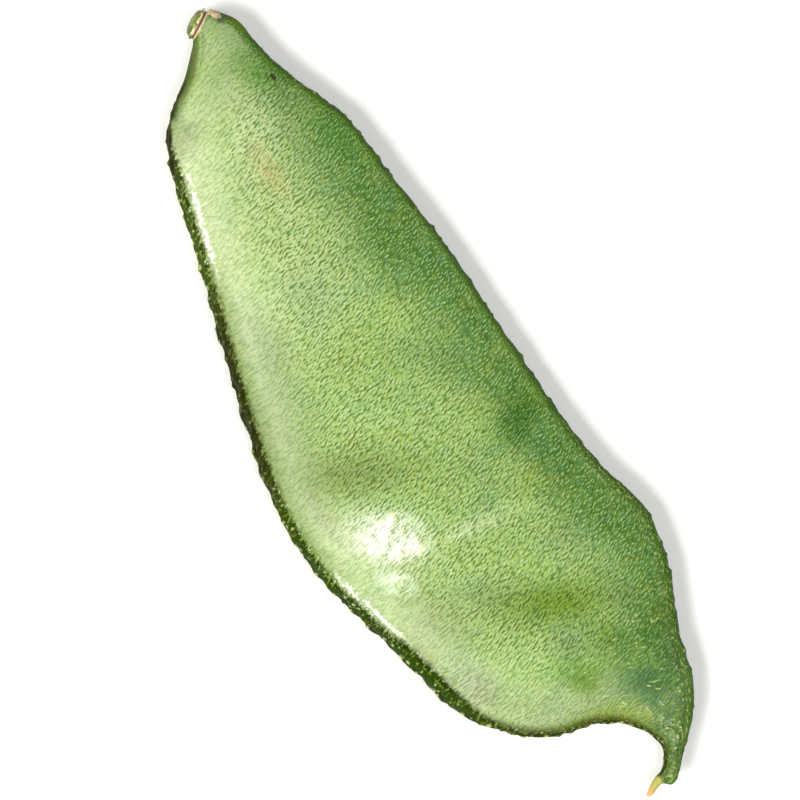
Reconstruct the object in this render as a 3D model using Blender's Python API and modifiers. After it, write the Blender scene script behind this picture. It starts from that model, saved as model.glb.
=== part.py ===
"""Hyacinth bean: one flat green lablab pod lying on its side, with its calyx collar and stalk stub.

Run with: blender --background --python part.py

Frame, in metres: +X runs from the stalk to the beak, +Y points to the straighter of the two margins,
+Z points up. The pod lies on z = 0, and the origin is under the middle of the whole object.
The plan below is in millimetres from the stalk's end, as a grower would measure a pod. The margin
on the side of -Y is called low here, and the one on the side of +Y high.
"""

import math
import random

import bmesh
import bpy
from mathutils import Matrix, Vector
from mathutils.geometry import intersect_point_line

MM = 0.001

# Overall plan, in millimetres
LENGTH = 85.0                 # end of the stalk to the knob of the beak
WIDTH = 30.8                  # over both ribs, at the widest
LOW_EDGE = -15.4              # plan y of the low margin at its furthest
MID_HEIGHT = 2.75             # the plane between the two valves, above the surface
END_LIFT = 0.55               # how much further the two ends curl up from that surface

# Cross-sections of the pod from the stalk to the beak. Each joins a point of the low margin to the
# point of the high margin that faces it: x and y of both, half the thickness of the valves in the
# middle, and half the thickness of the ribs.
SECTIONS = (
    ((2.35, 2.05), (0.50, 5.05), 1.10, 1.00),
    ((3.45, 0.95), (2.50, 6.60), 1.28, 1.08),
    ((4.85, -0.60), (4.80, 7.00), 1.48, 1.10),
    ((6.60, -3.10), (7.70, 7.60), 1.76, 1.15),
    ((9.05, -5.30), (11.20, 8.95), 2.04, 1.20),
    ((13.60, -6.90), (15.80, 10.75), 2.28, 1.22),
    ((19.60, -8.60), (22.00, 11.45), 2.42, 1.25),
    ((28.00, -11.00), (30.80, 12.40), 2.50, 1.25),
    ((36.50, -13.40), (40.00, 12.75), 2.50, 1.25),
    ((44.20, -14.95), (49.00, 13.10), 2.50, 1.25),
    ((51.00, -14.85), (55.60, 13.80), 2.50, 1.25),
    ((57.60, -13.25), (61.20, 15.25), 2.48, 1.25),
    ((64.00, -11.65), (65.00, 15.00), 2.42, 1.25),
    ((69.40, -10.15), (68.60, 13.90), 2.30, 1.22),
    ((73.20, -7.35), (71.60, 12.45), 2.12, 1.18),
    ((75.40, -4.00), (74.30, 11.35), 1.90, 1.12),
    ((76.50, 0.00), (76.80, 10.65), 1.62, 1.02),
    ((77.90, 2.45), (79.30, 9.45), 1.28, 0.88),
    ((79.50, 3.85), (81.55, 7.50), 0.97, 0.75),
    ((81.25, 4.50), (83.00, 5.75), 0.78, 0.67),
    ((82.55, 4.00), (84.25, 4.55), 0.67, 0.61),
    ((83.40, 3.15), (85.00, 3.35), 0.66, 0.60),
    ((83.60, 2.40), (84.46, 2.53), 0.43, 0.41),
    ((83.85, 1.65), (84.55, 1.78), 0.35, 0.33),
    ((84.20, 1.00), (84.80, 1.14), 0.30, 0.28),
    ((84.42, 0.72), (84.78, 0.80), 0.18, 0.16),
)
BODY_RINGS = 103              # rings of the loft up to the beak
BEAK_RINGS = 34               # and closer together in it
BEAK_FROM = 79.5              # where it starts, measured along the pod's middle line
SQUARE_FROM, SQUARE_FULL = 4.5, 12.0  # widths over which a rib turns square to its margin

# The valves between the ribs
FACE_STEPS = 7                # steps across a valve, from groove to groove
VALVE_FULLNESS = 2.6          # 2 is a parabola, and more is flatter in the middle
RIB_WIDTH = 0.95              # half the width of a rib
RIB_SHARE = 0.27              # and at most this share of the pod's width
RIB_SQUARE = 0.75             # 1 is a round rib, and less has flatter sides
RIB_ANGLES = (0, 22, 45, 68, 90)
GROOVE_AT = 2.0               # from the margin, in half rib widths
GROOVE_SHARE = 0.44           # and at most this share of the pod's width
GROOVE_DEPTH = 0.14
GROOVE_SPREAD = 0.6
GROOVE_FROM, GROOVE_FULL = 5.0, 16.0  # widths of the pod where the groove starts and is full

# Bulges over the seeds: x and y of their middles, then how far the upper and the lower valve stand
# out. They lie across the pod, leaning to the beak. The lower valve is flat where it would reach
# under the surface.
SEEDS = (
    (11.5, 2.0, 0.45, 0.28),
    (27.5, 1.5, 0.50, 0.42),
    (40.3, 1.0, 0.50, 0.62),
    (50.0, -2.8, 0.85, 0.53),
    (59.8, 2.8, 0.35, 0.40),
    (69.3, 1.2, 0.75, 0.47),
)
SEED_LEAN = math.radians(63)  # of a bulge's long way, from +X
SEED_LONG = 8.0               # reach of a bulge along it
SEED_SHORT = 3.6              # and across it

# Warts along the ribs: a row over and a row under the middle, each with one for every third ring
WART_HEIGHT = 0.20
WART_EVERY = 3
WART_ROWS = ((45, 0), (-45, 1))
WART_SPREAD = 24
WART_LEAST, WART_MOST = 0.55, 1.25
WART_FREE_RINGS = 2           # smooth rings at each end
WART_CHANCE = 11

# The collar and the stalk, along the axis of the pod's stem end
AXIS_FROM = (1.425, 3.55)     # middle of the pod's first section
AXIS = (-0.851, -0.525)
GAP = 0.21
COLLAR_THICK = 0.32
COLLAR_RADIUS = 1.60
COLLAR_NARROWS = 0.93         # the face by the stalk against the face by the pod
COLLAR_ROUND = 0.12
COLLAR_LOBES = 5
COLLAR_RAGGED = 0.04
STALK_LENGTH = 0.58
STALK_RADIUS = 1.38
# Radius and height, as shares of the two above, from the dome down to the face by the collar
STALK_PROFILE = ((0, 1), (0.45, 0.97), (0.78, 0.84), (0.96, 0.6), (1, 0.35), (0.9, 0), (0, 0))
FLATTENED = 0.82              # height of collar and stalk against their width
TURN_STEPS = 28
MERGE = 1e-6                  # metres

# Colour and roughness
LOOKS = {
    "pod": ((0.165, 0.315, 0.070), 0.42),
    "calyx": ((0.560, 0.460, 0.270), 0.75),
    "stalk": ((0.270, 0.370, 0.100), 0.55),
}


def clear_scene():
    for obj in list(bpy.data.objects):
        bpy.data.objects.remove(obj, do_unlink=True)


def collection_named(name):
    made = bpy.data.collections.new(name)
    bpy.context.scene.collection.children.link(made)
    return made


def material_named(name):
    colour, roughness = LOOKS[name]
    made = bpy.data.materials.new(name)
    made.use_nodes = True
    shader = made.node_tree.nodes["Principled BSDF"]
    shader.inputs["Base Color"].default_value = (*colour, 1.0)
    shader.inputs["Roughness"].default_value = roughness
    shader.inputs["Metallic"].default_value = 0.0
    made.diffuse_color = (*colour, 1.0)
    return made


def placed(x, y, z):
    """A point of the plan, in millimetres, as a point of the frame, in metres, not under the surface."""
    return Vector((x - LENGTH / 2, y - (LOW_EDGE + WIDTH / 2), max(z, 0.0))) * MM


def lift(x):
    """Height of the plane between the valves: the pod curls up gently to both ends."""
    from_middle = (x - LENGTH / 2) / (LENGTH / 2)
    return MID_HEIGHT + END_LIFT * from_middle * from_middle


def smooth_row(rows, knots, at):
    """The row of numbers at a length along the pod, on a smooth curve through all rows."""
    last = len(rows) - 1
    first = max(k for k in range(last) if k == 0 or knots[k] <= at)

    def slope(k, column):
        before, after = max(k - 1, 0), min(k + 1, last)
        return (rows[after][column] - rows[before][column]) / (knots[after] - knots[before])

    span = knots[first + 1] - knots[first]
    t = (at - knots[first]) / span
    row = []
    for column in range(len(rows[0])):
        start, end = rows[first][column], rows[first + 1][column]
        leaving, arriving = slope(first, column) * span, slope(first + 1, column) * span
        row.append(
            (2 * t**3 - 3 * t**2 + 1) * start
            + (t**3 - 2 * t**2 + t) * leaving
            + (3 * t**2 - 2 * t**3) * end
            + (t**3 - t**2) * arriving
        )
    return row


def section_rows():
    """All cross-sections of the loft: the margin points, then the two half thicknesses."""
    rows = [(*low, *high, valve, rib) for low, high, valve, rib in SECTIONS]
    middles = [Vector(((x1 + x2) / 2, (y1 + y2) / 2)) for x1, y1, x2, y2, _, _ in rows]
    knots = [0.0]
    for one, two in zip(middles, middles[1:]):
        knots.append(knots[-1] + (two - one).length)
    places = [BEAK_FROM * k / BODY_RINGS for k in range(BODY_RINGS)]
    beak = knots[-1] - BEAK_FROM
    places += [BEAK_FROM + beak * k / (BEAK_RINGS - 1) for k in range(BEAK_RINGS)]
    return [smooth_row(rows, knots, min(at, knots[-1])) for at in places]


def inward(rows, ring, from_high):
    """The way into the pod from a margin: square to it, but straight across where the pod is narrow."""
    column = 2 if from_high else 0
    before, after = rows[max(ring - 1, 0)], rows[min(ring + 1, len(rows) - 1)]
    run = Vector(after[column : column + 2]) - Vector(before[column : column + 2])
    square = Vector((run.y, -run.x)) if from_high else Vector((-run.y, run.x))
    low, high = Vector(rows[ring][0:2]), Vector(rows[ring][2:4])
    straight = (low - high) if from_high else (high - low)
    share = (straight.length - SQUARE_FROM) / (SQUARE_FULL - SQUARE_FROM)
    share = min(max(share, 0.0), 1.0)
    return (square.normalized() * share + straight.normalized() * (1 - share)).normalized()


def bulges(x, y):
    """How far the seeds push out the upper valve and the lower one at a point of the plan."""
    over, under = 0.0, 0.0
    for seed_x, seed_y, high, low in SEEDS:
        dx, dy = x - seed_x, y - seed_y
        along = dx * math.cos(SEED_LEAN) + dy * math.sin(SEED_LEAN)
        aside = dy * math.cos(SEED_LEAN) - dx * math.sin(SEED_LEAN)
        near = math.exp(-((along / SEED_LONG) ** 2) - (aside / SEED_SHORT) ** 2)
        over += high * near
        under += low * near
    return over, under


def distance_to(place, margin):
    """The shortest way in the plan from a place to a margin, given as a chain of points."""
    nearest = math.inf
    for one, two in zip(margin, margin[1:]):
        foot, share = intersect_point_line(place, one, two)
        if not 0 <= share <= 1:
            foot = one if share < 0 else two
        nearest = min(nearest, (place - foot.to_2d()).length)
    return nearest


def wart(angle, ring, last_ring, sizes):
    """How far the warts stand out of a rib, on this ring and at this angle round the rib."""
    if not WART_FREE_RINGS <= ring <= last_ring - WART_FREE_RINGS:
        return 0.0
    total = 0.0
    for row, (row_angle, first) in enumerate(WART_ROWS):
        if (ring + first) % WART_EVERY == 0:
            total += sizes[row][ring] * math.exp(-(((angle - row_angle) / WART_SPREAD) ** 2))
    return WART_HEIGHT * total


def rib_profile(sign, ring, last_ring, reach, rib, sizes):
    """Points of one rib over (1) or under (-1) its middle: distance from the margin, and height."""
    points = []
    for degrees in RIB_ANGLES:
        angle = math.radians(degrees)
        out = wart(sign * degrees, ring, last_ring, sizes) * reach / RIB_WIDTH
        back = reach * (1 - math.cos(angle) ** RIB_SQUARE) - out * math.cos(angle)
        points.append((back, sign * (rib * math.sin(angle) ** RIB_SQUARE + out * math.sin(angle))))
    return points


def face_profile(start, end, margins, reach, groove, valve, rib, depth):
    """Places across a valve from groove to groove: how high the upper and the lower one stand there."""
    points = []
    for step in range(FACE_STEPS + 1):
        place = start.lerp(end, step / FACE_STEPS)
        from_low, from_high = (max(distance_to(place, m) - reach, 0.0) for m in margins)
        from_middle = abs(from_low - from_high) / (from_low + from_high)
        height = rib + (valve - rib) * (1 - from_middle**VALVE_FULLNESS)
        from_groove = min(from_low, from_high) - (groove - reach)
        height -= depth * math.exp(-((from_groove / GROOVE_SPREAD) ** 2))
        over, under = bulges(place.x, place.y)
        share = 1 - from_middle**4
        points.append((place, height + over * share, height + under * share))
    return points


def ring_points(rows, ring, margins, sizes):
    """One closed ring of the pod: over the upper valve, then back under the lower one."""
    row = rows[ring]
    low, high = Vector(row[0:2]), Vector(row[2:4])
    valve, rib = row[4], row[5]
    from_low, from_high = inward(rows, ring, False), inward(rows, ring, True)
    width = (high - low).length
    reach = min(RIB_WIDTH, RIB_SHARE * width, rib)
    groove = min(GROOVE_AT * reach, GROOVE_SHARE * width)
    grown = (width - GROOVE_FROM) / (GROOVE_FULL - GROOVE_FROM)
    depth = GROOVE_DEPTH * min(max(grown, 0.0), 1.0)
    last = len(rows) - 1
    start, end = low + from_low * groove, high + from_high * groove
    face = face_profile(start, end, margins, reach, groove, valve, rib, depth)

    def rib_points(margin, way, sign, margin_sizes):
        profile = rib_profile(sign, ring, last, reach, rib, margin_sizes)
        return [(margin + way * back, height) for back, height in profile]

    loop = rib_points(low, from_low, 1, sizes["low"])
    loop += [(place, upper) for place, upper, _ in face]
    loop += reversed(rib_points(high, from_high, 1, sizes["high"])[1:])
    loop += rib_points(high, from_high, -1, sizes["high"])
    loop += [(place, -lower) for place, _, lower in reversed(face)]
    loop += reversed(rib_points(low, from_low, -1, sizes["low"])[1:])
    return [placed(place.x, place.y, lift(place.x) + height) for place, height in loop]


def build_pod(home):
    """The pod as a loft through its rings, closed by a flat face at each end."""
    rows = section_rows()
    chance = random.Random(WART_CHANCE)
    sizes = {
        margin: [[chance.uniform(WART_LEAST, WART_MOST) for _ in rows] for _ in WART_ROWS]
        for margin in ("low", "high")
    }
    margins = [Vector(row[0:2]) for row in rows], [Vector(row[2:4]) for row in rows]
    shape = bmesh.new()
    loft = [
        [shape.verts.new(point) for point in ring_points(rows, ring, margins, sizes)]
        for ring in range(len(rows))
    ]
    around = len(loft[0])
    for one, two in zip(loft, loft[1:]):
        for k in range(around):
            after = (k + 1) % around
            shape.faces.new((one[k], two[k], two[after], one[after]))
    shape.faces.new(loft[0])
    shape.faces.new(reversed(loft[-1]))
    bmesh.ops.recalc_face_normals(shape, faces=shape.faces)
    mesh = bpy.data.meshes.new("pod")
    shape.to_mesh(mesh)
    shape.free()
    mesh.shade_smooth()
    mesh.set_sharp_from_angle(angle=math.radians(60))
    mesh.materials.append(material_named("pod"))
    home.objects.link(bpy.data.objects.new("pod", mesh))


def put_on_axis(obj, along):
    """Stands a piece on the stem end's axis, this far out from the pod's first section."""
    out = Vector((*AXIS, 0.0)).normalized()
    aside = Vector((0.0, 0.0, 1.0)).cross(out)
    turn = Matrix((aside, out.cross(aside), out)).transposed()
    x, y = (AXIS_FROM[k] + AXIS[k] * along for k in (0, 1))
    obj.location = placed(x, y, lift(x))
    obj.rotation_euler = turn.to_euler()
    obj.scale = (1.0, FLATTENED, 1.0)


def build_collar(home):
    """The dry rim that the flower left: a thin disc with a ragged, rounded edge."""
    shape = bmesh.new()
    bmesh.ops.create_cone(
        shape,
        cap_ends=True,
        segments=TURN_STEPS,
        radius1=COLLAR_RADIUS * MM,
        radius2=COLLAR_RADIUS * COLLAR_NARROWS * MM,
        depth=COLLAR_THICK * MM,
    )
    for vert in shape.verts:
        ragged = 1 + COLLAR_RAGGED * math.cos(COLLAR_LOBES * math.atan2(vert.co.y, vert.co.x))
        vert.co.x *= ragged
        vert.co.y *= ragged
        vert.co.z += COLLAR_THICK / 2 * MM
    mesh = bpy.data.meshes.new("calyx")
    shape.to_mesh(mesh)
    shape.free()
    mesh.materials.append(material_named("calyx"))
    collar = bpy.data.objects.new("calyx", mesh)
    home.objects.link(collar)
    rounded = collar.modifiers.new("rounded rim", "BEVEL")
    rounded.width = COLLAR_ROUND * MM
    rounded.segments = 2
    rounded.limit_method = "ANGLE"
    put_on_axis(collar, GAP)


def build_stalk(home):
    """The stub of the stalk: a turned profile, domed where it broke off."""
    profile = [(radius * STALK_RADIUS, height * STALK_LENGTH) for radius, height in STALK_PROFILE]
    mesh = bpy.data.meshes.new("stalk")
    mesh.from_pydata(
        [(radius * MM, 0.0, height * MM) for radius, height in profile],
        [(k, k + 1) for k in range(len(profile) - 1)],
        [],
    )
    mesh.materials.append(material_named("stalk"))
    stalk = bpy.data.objects.new("stalk", mesh)
    home.objects.link(stalk)
    turned = stalk.modifiers.new("turned", "SCREW")
    turned.axis = "Z"
    turned.steps = TURN_STEPS
    turned.render_steps = TURN_STEPS
    turned.use_merge_vertices = True
    turned.merge_threshold = MERGE
    turned.use_smooth_shade = True
    put_on_axis(stalk, 2 * GAP + COLLAR_THICK)


def main():
    clear_scene()
    home = collection_named("hyacinth_bean")
    build_pod(home)
    build_collar(home)
    build_stalk(home)


main()
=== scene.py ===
"""Looks of a hyacinth bean (lablab) pod: its skin, suture ribs, dried calyx rim and stalk stub.

The plan is the one of the model: millimetres from the stalk's end, with the low margin on the side
of -Y and the high one on the side of +Y. Meshes and the camera are placed in metres.
"""

import math
import random

import bpy
import numpy as np
from mathutils import Matrix, Vector, kdtree, noise

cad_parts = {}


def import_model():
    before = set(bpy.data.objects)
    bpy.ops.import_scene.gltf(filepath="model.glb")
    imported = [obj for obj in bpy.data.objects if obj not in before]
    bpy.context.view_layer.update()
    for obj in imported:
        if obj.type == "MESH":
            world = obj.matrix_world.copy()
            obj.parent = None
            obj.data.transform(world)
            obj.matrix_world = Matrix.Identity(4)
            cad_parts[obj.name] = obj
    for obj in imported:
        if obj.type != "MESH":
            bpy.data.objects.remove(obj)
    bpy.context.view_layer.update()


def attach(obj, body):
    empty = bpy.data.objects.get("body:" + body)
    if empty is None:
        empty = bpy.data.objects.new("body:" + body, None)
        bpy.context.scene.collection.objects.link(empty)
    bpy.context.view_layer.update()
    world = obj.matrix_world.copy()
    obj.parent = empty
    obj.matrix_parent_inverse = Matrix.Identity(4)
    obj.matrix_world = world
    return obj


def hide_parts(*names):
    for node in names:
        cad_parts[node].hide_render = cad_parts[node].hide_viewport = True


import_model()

MM = 0.001

# The pod's plan and cross-sections, as the model has them. A section is a place on the low margin, one
# on the high margin, and half the thickness of the valves and of the ribs.
LENGTH = 85.0
WIDTH = 30.8
LOW_EDGE = -15.4
MID_HEIGHT = 2.75
END_LIFT = 0.55
SECTIONS = (
    ((2.35, 2.05), (0.50, 5.05), 1.10, 1.00),
    ((3.45, 0.95), (2.50, 6.60), 1.28, 1.08),
    ((4.85, -0.60), (4.80, 7.00), 1.48, 1.10),
    ((6.60, -3.10), (7.70, 7.60), 1.76, 1.15),
    ((9.05, -5.30), (11.20, 8.95), 2.04, 1.20),
    ((13.60, -6.90), (15.80, 10.75), 2.28, 1.22),
    ((19.60, -8.60), (22.00, 11.45), 2.42, 1.25),
    ((28.00, -11.00), (30.80, 12.40), 2.50, 1.25),
    ((36.50, -13.40), (40.00, 12.75), 2.50, 1.25),
    ((44.20, -14.95), (49.00, 13.10), 2.50, 1.25),
    ((51.00, -14.85), (55.60, 13.80), 2.50, 1.25),
    ((57.60, -13.25), (61.20, 15.25), 2.48, 1.25),
    ((64.00, -11.65), (65.00, 15.00), 2.42, 1.25),
    ((69.40, -10.15), (68.60, 13.90), 2.30, 1.22),
    ((73.20, -7.35), (71.60, 12.45), 2.12, 1.18),
    ((75.40, -4.00), (74.30, 11.35), 1.90, 1.12),
    ((76.50, 0.00), (76.80, 10.65), 1.62, 1.02),
    ((77.90, 2.45), (79.30, 9.45), 1.28, 0.88),
    ((79.50, 3.85), (81.55, 7.50), 0.97, 0.75),
    ((81.25, 4.50), (83.00, 5.75), 0.78, 0.67),
    ((82.55, 4.00), (84.25, 4.55), 0.67, 0.61),
    ((83.40, 3.15), (85.00, 3.35), 0.66, 0.60),
    ((83.60, 2.40), (84.46, 2.53), 0.43, 0.41),
    ((83.85, 1.65), (84.55, 1.78), 0.35, 0.33),
    ((84.20, 1.00), (84.80, 1.14), 0.30, 0.28),
    ((84.42, 0.72), (84.78, 0.80), 0.18, 0.16),
)
SQUARE_FROM, SQUARE_FULL = 4.5, 12.0
VALVE_FULLNESS = 2.6
RIB_WIDTH = 0.95
RIB_HALF = 1.25  # half the ribs' thickness along most of the pod
RIB_SHARE = 0.27
RIB_SQUARE = 0.75
# The bulges over the seeds: middle in the plan, and rise of the upper valve and of the lower one
SEEDS = (
    (11.5, 2.0, 0.45, 0.28),
    (27.5, 1.5, 0.50, 0.42),
    (40.3, 1.0, 0.50, 0.62),
    (50.0, -2.8, 0.85, 0.53),
    (59.8, 2.8, 0.35, 0.40),
    (69.3, 1.2, 0.75, 0.47),
)
SEED_LEAN = math.radians(63)
SEED_LONG = 8.0
SEED_SHORT = 3.6

# The fine mesh of the pod
BODY_STEP = 0.125  # between rings, along the middle line
BEAK_STEP = 0.085
BEAK_FROM = 79.5
FACE_STEPS = 42  # across one valve
RIB_STEPS = 11  # from the middle of a rib to its crest
PROFILE_POINTS = 400  # points of a rib's profile, to space those steps evenly
MARGIN_POINTS = 3200  # points of each margin, to measure distances from it
EDGE_DENSE = 0.45  # how much closer the steps are near the ribs
SKEW = 3.4  # rings lean to the stalk by twice this along the pod, as the wrinkles do
SKEW_GROWS = (3.0, 24.0)  # lengths along the pod where that starts and is full
SKEW_FADES = (50.0, 69.0)
BEND = 0.65  # how far the rings leave the ribs square to them
TIP_RINGS = (0.72, 0.38)  # sizes of the rings that round off the style's tip
TIP_ROUND = 0.16  # how far they reach beyond it
STEM_RINGS = (0.55, 0.78, 0.90, 0.97)  # and of those that round off the stem end, from its middle
STEM_ROUND = 0.30

# Relief finer than the model's. Where there are two numbers for the ribs, the low rib's is first.
GROOVE_AT, GROOVE_SPREAD = 0.85, 0.5  # from the crest of a rib, into the face
GROOVE_DEPTHS = (0.04, 0.06)
SHOULDERS = (0.14, 0.05)  # rise of the face beside each rib
SHOULDER_STEEP, SHOULDER_FADE = 0.60, 6.5
GROWN_WIDTHS = (4.0, 14.0)  # widths of the face where grooves and shoulders start and are full
WRINKLE_HIGH = 0.014
WRINKLE_PITCH, WRINKLE_LONG = 0.26, 0.8
WRINKLE_CLEAR = 0.8  # distance from a rib where they are full
WRINKLE_LEAST = 0.3  # their share near the low margin,
WRINKLE_GROWS = (2.0, 7.0)  # and the distances from it where that grows to 1
RUBBED_AT, RUBBED_REACH = (51.8, -7.8), (5.2, 3.4)  # where they are lower,
RUBBED_SHARE = 0.55  # and by how much
PUCKER_HIGH, PUCKER_SIZE, PUCKER_CLEAR = 0.035, 2.6, 2.0
SUTURE_DEPTH, SUTURE_SPREAD = 0.13, 0.16
RIDGE_AT, RIDGE_HIGH, RIDGE_SPREAD = 0.52, 0.07, 0.24
EDGE_WAVE_HIGHS = (0.30, 0.13)
EDGE_WAVE_LONG, EDGE_WAVE_WIDE = 1.25, 0.9
COMB_HIGH, COMB_PITCH = 0.022, 0.32  # the fine strokes over the shoulder of a rib,
COMB_AT = (0.5, 0.9)  # where on its wall they start and are full,
COMB_DRIFT = 2.0  # and how far they drift, in radians
COMB_DRIFT_LONG, COMB_DRIFT_WIDE = 0.8, 2.0
ROUGH_FROM = (2.5, 9.0)  # lengths along a rib from the stem where its roughness starts and is full
CREST_FADE = (0.50, 0.98)  # shares of a rib's wall where its relief starts to fade and ends
BULGE_FADE = 4
DRAWN_IN = 0.12  # the low edge gives way to its warts by this much,
LOBE_DRAWN_IN = 0.34  # and by this much more at its last lobe
LOBE_AT, LOBE_REACH = 72.6, 4.2

# The grain that the skin's looks follow
GRAIN_LEAN = 0.31  # how far it leans to the stalk, for each millimetre across
GRAIN_DRIFT, GRAIN_DRIFT_REACH = 0.6, 2.5  # less so near the low margin: this far, fading over this
SIDES_APART = 100.0  # moves the grain of either face, so that they differ
FAR_AWAY = 30.0  # stands for the distance from one rib to the other

# Seeds of the noise
WRINKLE_SEED, PUCKER_SEED, LOW_RIB_SEED, HIGH_RIB_SEED, COMB_SEED = 7.3, 3.1, 1.7, 5.1, 3.0

# Warts: distance along a rib between two, height, reach, and where they sit on the rib's wall
WARTS = ((0.45, 2.1), (0.06, 0.20), (0.14, 0.27), (0.25, 1.35))
TEETH = ((1.4, 3.6), (0.05, 0.17), (0.22, 0.42), (0.1, 0.5))
WART_FREE_END = 3.0
DOTS_IN_BEAK = 1200  # small warts on each face, ever denser up to the beak's end
DOTS_END, DOTS_LONG, DOTS_CROWD = 84.5, 15.0, 1.7
DOTS_ACROSS = (-6.0, 12.0)
DOT_HIGH = (0.04, 0.11)
DOT_REACH = (0.10, 0.17)
DOT_CLEAR = 0.25  # distance from a rib where they are full
CHANCE = 29

# The stem end: its axis in the plan, and two pieces turned round it. A profile is radii and how far
# out they are, ragged a share of the radius, and grain a roughness along the axis.
AXIS_FROM = (1.425, 3.55)
AXIS = (-0.851, -0.525)
FLATTENED = 0.82
TURNED_STEPS = 96
TURNED_ROUND, TURNED_ALONG = 1.3, 0.8  # how fast the noise changes round the axis and along it
RAGGED_FINE, GRAIN_FINE = 1.7, 2.6
GRAIN_SHIFT = Vector((5.0, 0.0, 0.0))
RIM = dict(
    profile=(
        (0.8, 0.02), (1.44, 0.06), (1.52, 0.14), (1.53, 0.20), (1.44, 0.27), (1.38, 0.33),
        (1.38, 0.39), (1.50, 0.46), (1.56, 0.54), (1.56, 0.62), (1.48, 0.68), (1.30, 0.71),
        (0.8, 0.72),
    ),
    ragged=0.10, grain=0.10, seed=3.0,
)
STUB = dict(
    profile=(
        (0.9, 0.50), (1.22, 0.54), (1.33, 0.61), (1.36, 0.70), (1.35, 0.81), (1.29, 0.92),
        (1.18, 1.02), (1.00, 1.11), (0.78, 1.17), (0.54, 1.21), (0.26, 1.23), (0.08, 1.235),
    ),
    ragged=0.05, grain=0.05, seed=9.0,
)


def smoothstep(value, start, end):
    share = np.clip((np.asarray(value, float) - start) / (end - start), 0.0, 1.0)
    return share * share * (3 - 2 * share)


def length_of(vectors):
    return np.linalg.norm(vectors, axis=-1, keepdims=True)


def unit(vectors):
    return vectors / np.maximum(length_of(vectors), 1e-9)


def world(x, y, z):
    """Points of the plan, in millimetres, as points of the frame, in metres, not under the surface."""
    points = np.stack([x - LENGTH / 2, y - (LOW_EDGE + WIDTH / 2), np.maximum(z, 0.0)], axis=-1)
    return points * MM


def lift(x):
    from_middle = (x - LENGTH / 2) / (LENGTH / 2)
    return MID_HEIGHT + END_LIFT * from_middle * from_middle


def smooth_way(t, start, leave, end, arrive):
    """Places at shares of a smooth way, given by its two ends and its directions there."""
    return (
        (2 * t**3 - 3 * t**2 + 1) * start
        + (t**3 - 2 * t**2 + t) * leave
        + (3 * t**2 - 2 * t**3) * end
        + (t**3 - t**2) * arrive
    )


class Plan:
    """The smooth curves through the cross-sections, by length along the pod's middle line."""

    def __init__(self):
        self.rows = np.array([(*low, *high, valve, rib) for low, high, valve, rib in SECTIONS])
        middles = (self.rows[:, 0:2] + self.rows[:, 2:4]) / 2
        steps = length_of(np.diff(middles, axis=0))[:, 0]
        self.knots = np.concatenate([[0.0], np.cumsum(steps)])
        order = np.arange(len(self.rows))
        before, after = np.maximum(order - 1, 0), np.minimum(order + 1, len(order) - 1)
        run = (self.knots[after] - self.knots[before])[:, None]
        self.slopes = (self.rows[after] - self.rows[before]) / run

    @property
    def end(self):
        return self.knots[-1]

    def at(self, places):
        """Rows at these lengths: low x and y, high x and y, half thickness of valves and ribs."""
        places = np.clip(places, 0.0, self.end)
        first = np.clip(np.searchsorted(self.knots, places, side="right") - 1, 0, len(self.knots) - 2)
        span = (self.knots[first + 1] - self.knots[first])[..., None]
        t = (places - self.knots[first])[..., None] / span
        leave, arrive = span * self.slopes[first], span * self.slopes[first + 1]
        return smooth_way(t, self.rows[first], leave, self.rows[first + 1], arrive)


def ring_places(plan):
    body = np.arange(0.0, BEAK_FROM, BODY_STEP)
    beak = np.linspace(BEAK_FROM, plan.end, int((plan.end - BEAK_FROM) / BEAK_STEP))
    return np.concatenate([body, beak])


def skew_at(places):
    return SKEW * smoothstep(places, *SKEW_GROWS) * (1 - smoothstep(places, *SKEW_FADES))


class Margin:
    """One margin as the rings meet it: its points, the way into the pod, and the rib's size."""

    def __init__(self, plan, places, from_high):
        rows = plan.at(places)
        low, high = rows[:, 0:2], rows[:, 2:4]
        self.sign = -1 if from_high else 1
        self.edge = high if from_high else low
        self.rib = rows[:, 5]
        run = np.gradient(self.edge, axis=0)
        square = np.stack([-run[:, 1], run[:, 0]], axis=1) * self.sign
        straight = (high - low) * self.sign
        width = length_of(straight)[:, 0]
        share = np.clip((width - SQUARE_FROM) / (SQUARE_FULL - SQUARE_FROM), 0.0, 1.0)[:, None]
        self.inward = unit(unit(square) * share + unit(straight) * (1 - share))
        self.reach = np.minimum(np.minimum(RIB_WIDTH, RIB_SHARE * width), self.rib)
        if not from_high:
            lobe = np.exp(-(((self.edge[:, 0] - LOBE_AT) / LOBE_REACH) ** 2))
            drawn_in = DRAWN_IN * share[:, 0] + LOBE_DRAWN_IN * lobe
            self.edge = self.edge + self.inward * drawn_in[:, None]
        steps = length_of(np.diff(self.edge, axis=0))[:, 0]
        self.along = np.concatenate([[0.0], np.cumsum(steps)])


def rib_angles():
    """Angles round a quarter of the rib's profile, evenly spaced along it, and their places on it."""
    fine = np.linspace(0.0, math.pi / 2, PROFILE_POINTS)
    out = RIB_WIDTH * np.cos(fine) ** RIB_SQUARE
    up = RIB_HALF * np.sin(fine) ** RIB_SQUARE
    run = np.concatenate([[0.0], np.cumsum(np.hypot(np.diff(out), np.diff(up)))])
    even = np.linspace(0.0, run[-1], RIB_STEPS + 1)
    return np.interp(even, run, fine), even


def distances(points, edge):
    """The shortest way in the plan from each point to a margin."""
    tree = kdtree.KDTree(len(edge))
    for k, (x, y) in enumerate(edge):
        tree.insert((x, y, 0.0), k)
    tree.balance()
    found = np.array([tree.find((x, y, 0.0))[2] for x, y in points.reshape(-1, 2)])
    return found.reshape(points.shape[:-1])


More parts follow.
